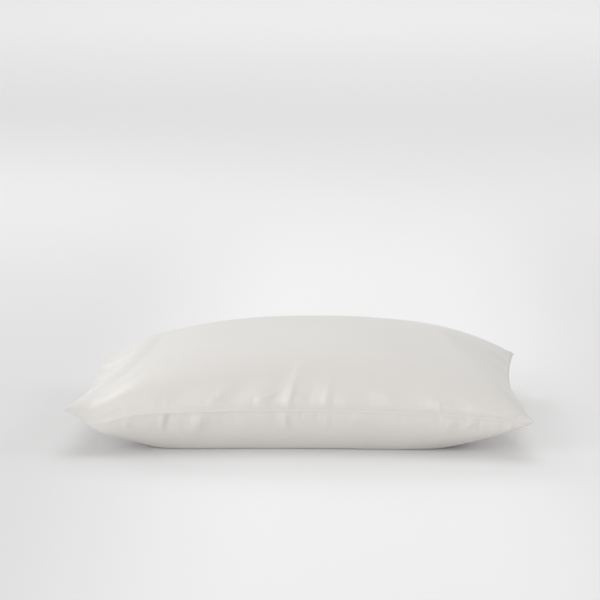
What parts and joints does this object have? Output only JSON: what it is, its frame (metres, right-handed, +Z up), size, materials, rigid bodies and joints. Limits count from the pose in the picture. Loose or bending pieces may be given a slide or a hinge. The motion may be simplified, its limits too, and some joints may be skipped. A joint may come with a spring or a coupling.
{
  "type": "filled pillowcase",
  "caption": "Satin pillowcase with its pillow inside, lying on its back: crowned and soft, with drawn-in seams, sharp corners at the closed end and a flat hemmed mouth at the other.",
  "frame": {"origin": "centre of the bounding box's base, on the surface that the pillowcase lies on", "axes": "+X along the case from its open, hemmed end to its closed end; -Y towards the near long side of the picture; +Z up through the crown"},
  "size_m": [0.7478, 0.491, 0.1611],
  "materials": {
    "satin": "off-white satin with a soft sheen"
  },
  "bodies": {
    "root": {"filled_pillowcase": "satin"}
  },
  "joints": []
}
